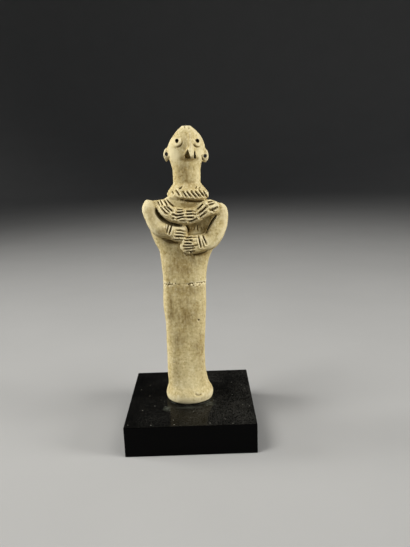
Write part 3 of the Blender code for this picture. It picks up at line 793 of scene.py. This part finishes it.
# places worn or washed paler, and painted highlight on lit edges and rims, the same way
washedAndHighlit = (
    (-3.9, 137.3, 3.2, 3.5, 1.25), (9.9, 137.2, 2.2, 3.5, 1.2), (3.0, 153.0, 5.0, 3.0, 1.2),
    (6.2, 96.5, 2.2, 0.8, 0.95), (6.3, 98.6, 0.4, 1.8, 0.9), (8.3, 98.0, 0.4, 1.3, 0.8),
    (-1.7, 89.4, 0.8, 1.6, 0.9), (0.5, 1.1, 9.0, 1.1, 0.95), (8.6, 126.0, 1.6, 6.0, 0.6),
    (-5.6, 126.0, 1.4, 6.0, 0.4), (-12.6, 102.0, 3.0, 2.8, 0.5), (12.5, 91.5, 3.0, 2.5, 0.7),
    (0.5, 12.0, 8.0, 6.0, 0.5), (1.5, 22.0, 4.0, 7.0, 0.35),
)


def addLook(mesh, name, values):
    mesh.attributes.new(name, "FLOAT", "POINT").data.foreach_set("value", values.astype(np.float32))


def patchesAt(x, z, places):
    found = np.zeros(len(x))
    for across, up, halfWidth, halfHeight, strength in places:
        spread = ((x - across) / halfWidth) ** 2 + ((z - up) / halfHeight) ** 2
        found = np.maximum(found, strength * np.exp(-spread))
    return found


def finishClay(clay, soilAndShade, crumb):
    # fewer faces, then where each point is hollow, rubbed, soiled or stained, as dirt and wear and as
    # painted shade and painted highlight
    mesh = clay.data
    dense = pointsOf(mesh)
    lookup = kdtree.KDTree(len(dense))
    for i, point in enumerate(dense):
        lookup.insert(point, i)
    lookup.balance()
    triangles = sum(len(p.vertices) - 2 for p in mesh.polygons)
    fewer = clay.modifiers.new("Fewer faces", "DECIMATE")
    fewer.ratio = min(1.0, clayBody["mostTriangles"] / triangles)
    applyModifiers(clay)
    mesh = clay.data
    points, normals, edges = pointsOf(mesh), normalsOf(mesh), edgesOf(mesh)
    nearest = np.array([lookup.find(point)[1] for point in points])
    near = relax(points, edges, 4)
    wide = relax(near, edges, 40)
    far = relax(wide, edges, 90)
    fine = ((near - points) * normals).sum(axis=1)
    form = ((far - near) * normals).sum(axis=1)
    x, y, z = points.T
    inFront = smoothStep(0.0, 0.5, -normals[:, 1])
    # faces turned to the back are darker, soil stays in places in front, some of them painted shadow, and
    # faces turned down under the forearms, necklace and collar get painted shade
    back = clayBody["backDarkening"] * smoothStep(0.0, 0.9, normals[:, 1])
    under = clayBody["underShade"] * smoothStep(0.1, 0.65, -normals[:, 2]) * inFront
    under *= smoothStep(80, 83, z)
    stainAndShade = np.maximum(np.maximum(back, patchesAt(x, z, stainsAndShadows) * inFront), under)
    paleAndHighlit = patchesAt(x, z, washedAndHighlit) * inFront
    stainAndShade *= 0.8 + 0.38 * smoothStep(-0.35, 0.45, noiseAt(points, stainAndShadeStretch, 31))
    stainAndShade *= 0.8 + 0.4 * smoothStep(-0.3, 0.3, noiseAt(points, (0.9, 0.9, 1.2), 32))
    stainAndShade *= 1 - 0.8 * np.minimum(paleAndHighlit, 1)
    addLook(mesh, "soilAndShade", soilAndShade[nearest])
    addLook(mesh, "crumb", crumb[nearest])
    # groove and hollow darken concave places with dirt and painted shade; ridge and rubbed make raised
    # places paler as painted highlight, rubbed also as wear
    addLook(mesh, "groove", smoothStep(0.01, 0.09, fine))
    addLook(mesh, "ridgeHighlight", smoothStep(0.01, 0.08, -fine))
    addLook(mesh, "hollow", smoothStep(0.05, 0.75, form))
    addLook(mesh, "rubbed", smoothStep(0.15, 0.9, -form))
    addLook(mesh, "stainAndShade", stainAndShade)
    addLook(mesh, "paleAndHighlit", paleAndHighlit)
    addLook(mesh, "drag", stainAndShade * smoothStep(95, 86, z))
    tell("thinned to " + str(sum(len(p.vertices) - 2 for p in mesh.polygons)) + " triangles")


def hexColour(code):
    channels = [int(code[i:i + 2], 16) / 255 for i in (1, 3, 5)]
    return (*[c / 12.92 if c <= 0.04045 else ((c + 0.055) / 1.055) ** 2.4 for c in channels], 1.0)


def newMaterial(name):
    material = bpy.data.materials.new(name)
    material.use_nodes = True
    return material, material.node_tree, material.node_tree.nodes["Principled BSDF"]


inMillimetres = (1000, 1000, 1000)


def addNode(tree, kind, values=None, **settings):
    node = tree.nodes.new("ShaderNode" + kind)
    for name, value in settings.items():
        setattr(node, name, value)
    for name, value in (values or {}).items():
        if isinstance(value, bpy.types.NodeSocket):
            tree.links.new(value, node.inputs[name])
        else:
            node.inputs[name].default_value = value
    return node


# Low-fired buff earthenware, rolled and smoothed by hand while damp, never glazed:
# dead matt warm cream, browner where soil has stayed and with painted shade in hollows and under
# overhangs, paler where it is rubbed and with painted highlight on ridges and raised forms.
earthenware = {
    "ground": "#CDBD8D",
    # what it follows, where it starts, where it is full, how strong, its colour
    "layers": (
        ("cloud", 0.42, 0.68, 0.5, "#BDA96F"),
        ("mottle", 0.52, 0.7, 0.58, "#E0D3A8"),
        ("mottle", 0.49, 0.3, 0.58, "#A08B54"),
        ("fleck", 0.53, 0.7, 0.6, "#E6DAB1"),
        ("fleck", 0.47, 0.3, 0.55, "#94804A"),
        # paler where worn or washed, and painted highlight
        ("paleAndHighlit", 0.0, 1.0, 0.9, "#E8DBAE"),
        # dirt and painted shade in broad hollows
        ("hollow", 0.1, 1.0, 0.55, "#78632F"),
        # paler on raised forms: wear and painted highlight
        ("rubbed", 0.05, 0.8, 0.68, "#E9DDB4"),
        # painted highlight along ridges and stroke lips
        ("ridgeHighlight", 0.1, 0.7, 0.7, "#EFE4BF"),
        # soil stains and painted shadow
        ("stainAndShade", 0.0, 1.0, 0.75, "#7C6535"),
        ("streaks", 0.05, 0.7, 0.38, "#635029"),
        # dirt and painted shade in fine grooves
        ("groove", 0.1, 0.9, 0.6, "#63501F"),
        # soil and painted shade in cuts, holes, pits and strokes
        ("soilAndShade", 0.05, 0.8, 0.93, "#3C2B08"),
        ("crumb", 0.2, 0.8, 0.8, "#E6D9B0"),
        ("grit", 0.07, 0.0, 0.6, "#5A4A2E"),
    ),
    # each noise: how wide its patches are, how much finer detail, how rough
    "noises": {
        "cloud": (9.0, 5, 0.6),
        "mottle": (2.6, 5, 0.68),
        "fleck": (1.3, 3, 0.6),
        "grain": (0.7, 3, 0.6),   # real grain is nearer 0.2 mm, drawn coarser so that it shows
        "streak": (1.1, 3, 0.6),
    },
    "streakDrawn": 9.0 / 1.1,   # how many times longer than wide
    "streakShows": (0.48, 0.66),
    "gritGap": 4.6,
    "relief": (("mottle", 0.6, 0.18), ("grain", 0.8, 0.15)),   # which noise, strength, mm
    "roughness": (0.8, 0.95),
}


def firedClay():
    look = earthenware
    material, tree, shader = newMaterial("earthenware_low_fired_hand_smoothed")
    place = addNode(tree, "TexCoord").outputs["Object"]
    size = addNode(tree, "VectorMath", {0: place, 1: inMillimetres}, operation="MULTIPLY").outputs[0]
    drawn = (1, 1, 1 / look["streakDrawn"])
    tall = addNode(tree, "VectorMath", {0: size, 1: drawn}, operation="MULTIPLY").outputs[0]
    grit = addNode(tree, "TexVoronoi", {"Vector": size, "Scale": 1 / look["gritGap"]})
    masks = {"grit": grit.outputs["Distance"]}
    for name, (wide, detail, rough) in look["noises"].items():
        along = tall if name == "streak" else size
        values = {"Vector": along, "Scale": 1 / wide, "Detail": detail, "Roughness": rough}
        masks[name] = addNode(tree, "TexNoise", values).outputs[0]
    for name in ("soilAndShade", "crumb", "groove", "ridgeHighlight", "hollow", "rubbed", "stainAndShade", "drag", "paleAndHighlit"):
        masks[name] = addNode(tree, "Attribute", attribute_name=name).outputs["Fac"]
    # stains and painted shade are darkest along the smoothing streaks
    start, full = look["streakShows"]
    lines = addNode(tree, "MapRange", {"Value": masks["streak"], "From Min": start, "From Max": full})
    masks["streaks"] = addNode(tree, "Math", {0: lines.outputs[0], 1: masks["drag"]},
                               operation="MULTIPLY").outputs[0]
    surface = hexColour(look["ground"])
    for mask, start, full, strength, colour in look["layers"]:
        amount = addNode(tree, "MapRange",
                         {"Value": masks[mask], "From Min": start, "From Max": full, "To Max": strength},
                         interpolation_type="SMOOTHSTEP").outputs[0]
        surface = addNode(tree, "Mix", {0: amount, 6: surface, 7: hexColour(colour)},
                          data_type="RGBA").outputs[2]
    tree.links.new(surface, shader.inputs["Base Color"])
    low, high = look["roughness"]
    rough = addNode(tree, "MapRange", {"Value": masks["mottle"], "To Min": low, "To Max": high})
    tree.links.new(rough.outputs[0], shader.inputs["Roughness"])
    shader.inputs["IOR"].default_value = 1.5
    shader.inputs["Specular IOR Level"].default_value = 0.12
    relief = None
    for mask, strength, height in look["relief"]:
        values = {"Height": masks[mask], "Strength": strength, "Distance": height * mm}
        if relief is not None:
            values["Normal"] = relief
        relief = addNode(tree, "Bump", values).outputs[0]
    tree.links.new(relief, shader.inputs["Normal"])
    return material


# Cast acrylic sheet, sawn, sanded and buffed: black with a hard mirror gloss,
# dulled on top by a haze of dust that lies thickest at the right.
acrylic = {
    "ground": "#040404",
    "dust": "#55544E",
    "speck": "#A6A49A",
    # each noise: how wide its patches are, finer detail, how rough, starts at, full at
    "noises": {
        "haze": (16.0, 4, 0.6, 0.2, 0.75),
        "motes": (0.6, 2, 0.7, 0.38, 0.9),   # real dust is finer, drawn coarser so that it shows
    },
    "dustier": (-30, 26, 0.25, 1.0),   # from here to there across, from this share to that
    "speckGap": 15.0,
    "speckSize": (0.018, 0.007),   # as a share of the gap: its rim and its middle
    "lintGap": 1.7,
    "lintSize": (0.13, 0.05),
    "lintChance": (0.85, 1.0),     # of the bits of lint, those that show
    "lintInDust": (0.1, 0.6),
    # adhesive wiped thin round the foot: across, back, half width, half depth, strength
    "smears": (
        (-13.4, -15.0, 2.6, 3.8, 0.85), (10.6, -11.0, 3.6, 3.0, 0.55), (-1.0, -14.6, 9.0, 1.6, 0.45),
    ),
    "smear": "#43463E",
    "smearTorn": 1.6,            # how ragged a smear's edge is
    "smearEdge": (1.8, 0.8),
    "roughness": (0.1, 0.45),
}


def polishedAcrylic():
    look = acrylic
    material, tree, shader = newMaterial("cast_acrylic_black_buffed")
    place = addNode(tree, "TexCoord")
    size = addNode(tree, "VectorMath", {0: place.outputs["Object"], 1: inMillimetres},
                   operation="MULTIPLY").outputs[0]
    upward = addNode(tree, "SeparateXYZ", {0: place.outputs["Normal"]}).outputs["Z"]
    onTop = addNode(tree, "MapRange", {"Value": upward, "From Min": 0.6, "From Max": 0.95}).outputs[0]
    across = addNode(tree, "SeparateXYZ", {0: size}).outputs["X"]
    left, right, low, high = look["dustier"]
    values = {"Value": across, "From Min": left, "From Max": right, "To Min": low, "To Max": high}
    toRight = addNode(tree, "MapRange", values).outputs[0]
    masks = {}
    for name, (wide, detail, rough, start, full) in look["noises"].items():
        values = {"Vector": size, "Scale": 1 / wide, "Detail": detail, "Roughness": rough}
        patches = addNode(tree, "TexNoise", values).outputs[0]
        values = {"Value": patches, "From Min": start, "From Max": full}
        masks[name] = addNode(tree, "MapRange", values).outputs[0]
    cover = addNode(tree, "Math", {0: masks["haze"], 1: toRight}, operation="MULTIPLY").outputs[0]
    cover = addNode(tree, "Math", {0: cover, 1: onTop}, operation="MULTIPLY").outputs[0]
    amount = addNode(tree, "Math", {0: cover, 1: masks["motes"]}, operation="MULTIPLY").outputs[0]
    surface = addNode(tree, "Mix", {0: amount, 6: hexColour(look["ground"]), 7: hexColour(look["dust"])},
                      data_type="RGBA").outputs[2]

    # white specks far apart, and finer lint where the dust lies
    specks = addNode(tree, "TexVoronoi", {"Vector": size, "Scale": 1 / look["speckGap"]},
                     voronoi_dimensions="2D")
    fibres = addNode(tree, "TexVoronoi", {"Vector": size, "Scale": 1 / look["lintGap"]})
    chance = addNode(tree, "SeparateColor", {0: fibres.outputs["Color"]}).outputs[0]
    shows = {}
    sources = (("speckSize", specks.outputs["Distance"]), ("lintSize", fibres.outputs["Distance"]),
               ("lintChance", chance), ("lintInDust", cover))
    for name, source in sources:
        start, full = look[name]
        values = {"Value": source, "From Min": start, "From Max": full}
        shows[name] = addNode(tree, "MapRange", values).outputs[0]
    speck = addNode(tree, "Math", {0: shows["speckSize"], 1: onTop}, operation="MULTIPLY").outputs[0]
    lint = shows["lintSize"]
    for name in ("lintChance", "lintInDust"):
        lint = addNode(tree, "Math", {0: lint, 1: shows[name]}, operation="MULTIPLY").outputs[0]
    white = addNode(tree, "Math", {0: lint, 1: speck}, operation="MAXIMUM").outputs[0]
    surface = addNode(tree, "Mix", {0: white, 6: surface, 7: hexColour(look["speck"])},
                      data_type="RGBA").outputs[2]

    ragged = addNode(tree, "TexNoise", {"Vector": size, "Scale": 0.55, "Detail": 3}).outputs[0]
    start, full = look["smearEdge"]
    for x, y, halfWidth, halfDepth, strength in look["smears"]:
        x, y = x + footCentre.x / mm, y + footCentre.y / mm
        shrink, shift = (1 / halfWidth, 1 / halfDepth, 0), (-x / halfWidth, -y / halfDepth, 0)
        reach = addNode(tree, "VectorMath", {0: size, 1: shrink, 2: shift},
                        operation="MULTIPLY_ADD").outputs[0]
        away = addNode(tree, "VectorMath", {0: reach}, operation="LENGTH").outputs["Value"]
        torn = addNode(tree, "Math", {0: ragged, 1: look["smearTorn"], 2: away},
                       operation="MULTIPLY_ADD").outputs[0]
        values = {"Value": torn, "From Min": start, "From Max": full, "To Max": strength}
        film = addNode(tree, "MapRange", values).outputs[0]
        film = addNode(tree, "Math", {0: film, 1: onTop}, operation="MULTIPLY").outputs[0]
        surface = addNode(tree, "Mix", {0: film, 6: surface, 7: hexColour(look["smear"])},
                          data_type="RGBA").outputs[2]
        amount = addNode(tree, "Math", {0: film, 1: amount}, operation="MAXIMUM").outputs[0]
    tree.links.new(surface, shader.inputs["Base Color"])
    low, high = look["roughness"]
    rough = addNode(tree, "MapRange", {"Value": amount, "To Min": low, "To Max": high}).outputs[0]
    tree.links.new(rough, shader.inputs["Roughness"])
    shader.inputs["IOR"].default_value = 1.49
    shader.inputs["Specular IOR Level"].default_value = 0.045
    return material


# Clear adhesive squeezed out under the foot and gone cloudy: smears at its
# front left and front right, as arcs of degrees round it, then a few drops.
glue = {
    "arcs": ((212, 234, 0.22), (290, 336, 0.3)),
    "middle": (-0.6, -0.1),
    "reach": (13.1, 11.8),
    "height": 0.1,
    "drops": (
        (-13.1, -15.2, 0.8), (-14.3, -12.8, 0.5), (-11.7, -17.6, 0.4), (-15.0, -15.6, 0.35),
        (10.9, -9.3, 0.7), (9.0, -12.9, 0.5), (12.8, -6.8, 0.4),
    ),
    "spread": 1.6,   # how far out the film reaches for its radius
    "arcWobble": 0.5,
    "dropWobble": 0.35,
    "colour": "#3A3D36",
    "dusted": "#171814",
    "dustSize": 0.6,
    "roughness": (0.6, 0.9),
}


def makeGlue():
    middleX, middleY = glue["middle"]
    half = np.linspace(0, math.pi, 9)
    lumps = []
    for first, last, radius in glue["arcs"]:
        turns = np.radians(np.linspace(first, last, int(last - first)))
        rings = []
        for i, turn in enumerate(turns):
            taper = math.sin(math.pi * (i + 0.5) / len(turns)) ** 0.5
            swell = 1 + glue["arcWobble"] * noise.noise(Vector((turn * 9, radius * 40, 1.0)))
            wide = radius * glue["spread"] * taper * swell
            out = glue["reach"][0] + wide * np.cos(half), glue["reach"][1] + wide * np.cos(half)
            x = middleX + out[0] * math.cos(turn)
            y = middleY + out[1] * math.sin(turn)
            z = blockTop + glue["height"] * taper * swell * np.sin(half)
            rings.append(np.stack([x, y, z], axis=1))
        lumps.append(closeRings(np.array(rings)))
    angle = anglesRound(24)
    for x, y, radius in glue["drops"]:
        around = [Vector((math.cos(a) * 1.4 + x, math.sin(a) * 1.4, y)) for a in angle]
        edge = 1 + glue["dropWobble"] * np.array([noise.noise(place) for place in around])
        rings = []
        for share, height in ((1.0, 0.0), (0.9, 0.45), (0.6, 0.85), (0.2, 1.0)):
            out = radius * share * edge
            top = np.full(len(angle), blockTop + height * glue["height"])
            rings.append(np.stack([x + out * np.cos(angle), y + out * np.sin(angle), top], axis=1))
        lumps.append(closeRings(np.array(rings)))
    points, faces = joined(lumps)
    piece = meshPiece("glue_residue", points, faces)
    piece.data.transform(ontoBlock)
    piece.data.shade_smooth()
    piece.data.materials.append(clouded())
    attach(piece, "root")
    tell("glue laid")


def clouded():
    # contact adhesive, air dried: cloudy grey, a soft sheen, dust stuck in it
    material, tree, shader = newMaterial("adhesive_air_dried_clouded")
    place = addNode(tree, "TexCoord").outputs["Object"]
    values = {"Vector": place, "Scale": 1 / (glue["dustSize"] * mm), "Detail": 3}
    speckle = addNode(tree, "TexNoise", values).outputs[0]
    amount = addNode(tree, "MapRange", {"Value": speckle, "From Min": 0.4, "From Max": 0.65}).outputs[0]
    surface = addNode(tree, "Mix", {0: amount, 6: hexColour(glue["colour"]), 7: hexColour(glue["dusted"])},
                      data_type="RGBA").outputs[2]
    tree.links.new(surface, shader.inputs["Base Color"])
    low, high = glue["roughness"]
    rough = addNode(tree, "MapRange", {"Value": speckle, "To Min": low, "To Max": high}).outputs[0]
    tree.links.new(rough, shader.inputs["Roughness"])
    shader.inputs["IOR"].default_value = 1.47
    return material


# a wide pale floor that turns up at its edge, out of reach of the lamps
floorDish = {
    "flatRadius": 1600.0,
    "rimRadius": 2600.0,
    "rimHeight": 1050.0,
    "sides": 128,
    "colour": "#B4B4B2",
    "fibre": "#ACACAA",
}


def makeFloor():
    profile = [(0.5, 0.0), (floorDish["flatRadius"], 0.0)]
    for i in range(1, 17):
        turn = i / 16 * math.pi / 2
        reach = (floorDish["rimRadius"] - floorDish["flatRadius"]) * math.sin(turn)
        profile.append((floorDish["flatRadius"] + reach, floorDish["rimHeight"] * (1 - math.cos(turn))))
    angle = anglesRound(floorDish["sides"])
    x, y, level = np.cos(angle), np.sin(angle), np.ones(len(angle))
    rings = [np.stack([reach * x, reach * y, height * level], axis=1) for reach, height in profile]
    points, faces = closeRings(np.array(rings) * mm)
    points[:, 2] += baseLow.z
    floor = meshPiece("studio_floor", points, faces[:-1])
    floor.data.shade_smooth()
    material, tree, shader = newMaterial("background_paper_uncoated")
    place = addNode(tree, "TexCoord").outputs["Object"]
    fibre = addNode(tree, "TexNoise", {"Vector": place, "Scale": 12, "Detail": 4}).outputs[0]
    paper = addNode(tree, "Mix",
                    {0: fibre, 6: hexColour(floorDish["colour"]), 7: hexColour(floorDish["fibre"])},
                    data_type="RGBA").outputs[2]
    tree.links.new(paper, shader.inputs["Base Color"])
    shader.inputs["Roughness"].default_value = 0.95
    floor.data.materials.append(material)


# softboxes: place, width, height, watts, how far they spread, colour
lamps = {
    "left_low_softbox": ((-1338, 236, 434), 500, 640, 2.6, 75, "#FFFDFA"),
    "left_high_softbox": ((-709, -377, 1242), 500, 800, 2.3, 75, "#FFFDFA"),
    "right_low_softbox": ((1312, -352, 434), 500, 640, 3.0, 75, "#FFFDFA"),
    "right_high_softbox": ((615, -516, 1242), 500, 800, 1.0, 75, "#FFFDFA"),
    "front_low_softbox": ((-779, -1113, 434), 500, 640, 0.6, 75, "#FFFFFF"),
}
studio = {
    "aim": (0, 0, 95),
    "surround": "#333436",
}


def makeLights():
    aim = Vector(studio["aim"]) * mm
    for name, (place, width, height, watts, spread, colour) in lamps.items():
        light = bpy.data.lights.new(name, "AREA")
        light.shape = "RECTANGLE"
        light.size, light.size_y = width * mm, height * mm
        light.energy = watts
        light.spread = math.radians(spread)
        light.color = hexColour(colour)[:3]
        lamp = bpy.data.objects.new(name, light)
        lamp.location = Vector(place) * mm
        lamp.rotation_euler = (aim - lamp.location).to_track_quat("-Z", "Y").to_euler()
        bpy.context.scene.collection.objects.link(lamp)
    world = bpy.data.worlds.new("studio_surround")
    world.use_nodes = True
    world.node_tree.nodes["Background"].inputs["Color"].default_value = hexColour(studio["surround"])
    bpy.context.scene.world = world
    bpy.context.scene.view_settings.view_transform = "Standard"


# where the camera stands, how far it looks down and leans, and its lens
shot = {
    "from": (10.3, -285.0, 157.0),
    "down": 13.25,
    "lean": -1.93,
    "lens": 34.88,
    "sensor": 36.0,
}


def makeCamera():
    data = bpy.data.cameras.new("studio_camera")
    data.sensor_width = shot["sensor"]
    data.lens = shot["lens"]
    data.clip_start = 10 * mm
    camera = bpy.data.objects.new("studio_camera", data)
    tip = Matrix.Rotation(math.radians(90 - shot["down"]), 4, "X")
    lean = Matrix.Rotation(math.radians(shot["lean"]), 4, "Z")
    camera.matrix_world = Matrix.Translation(Vector(shot["from"]) * mm) @ tip @ lean
    bpy.context.scene.collection.objects.link(camera)
    bpy.context.scene.camera = camera


statuette, cutTrees = shapeClay()
soilAndShade, crumb = workSurface(statuette, cutTrees)
finishClay(statuette, soilAndShade, crumb)
statuette.data.transform(ontoBlock)
statuette.data.materials.clear()
statuette.data.materials.append(firedClay())
statuette.data.shade_smooth()
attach(statuette, "root")
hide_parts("statuette")

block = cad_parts["display_base"]
block.data.materials.clear()
block.data.materials.append(polishedAcrylic())

makeGlue()
makeFloor()
makeLights()
makeCamera()

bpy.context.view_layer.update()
tell("scene ready")
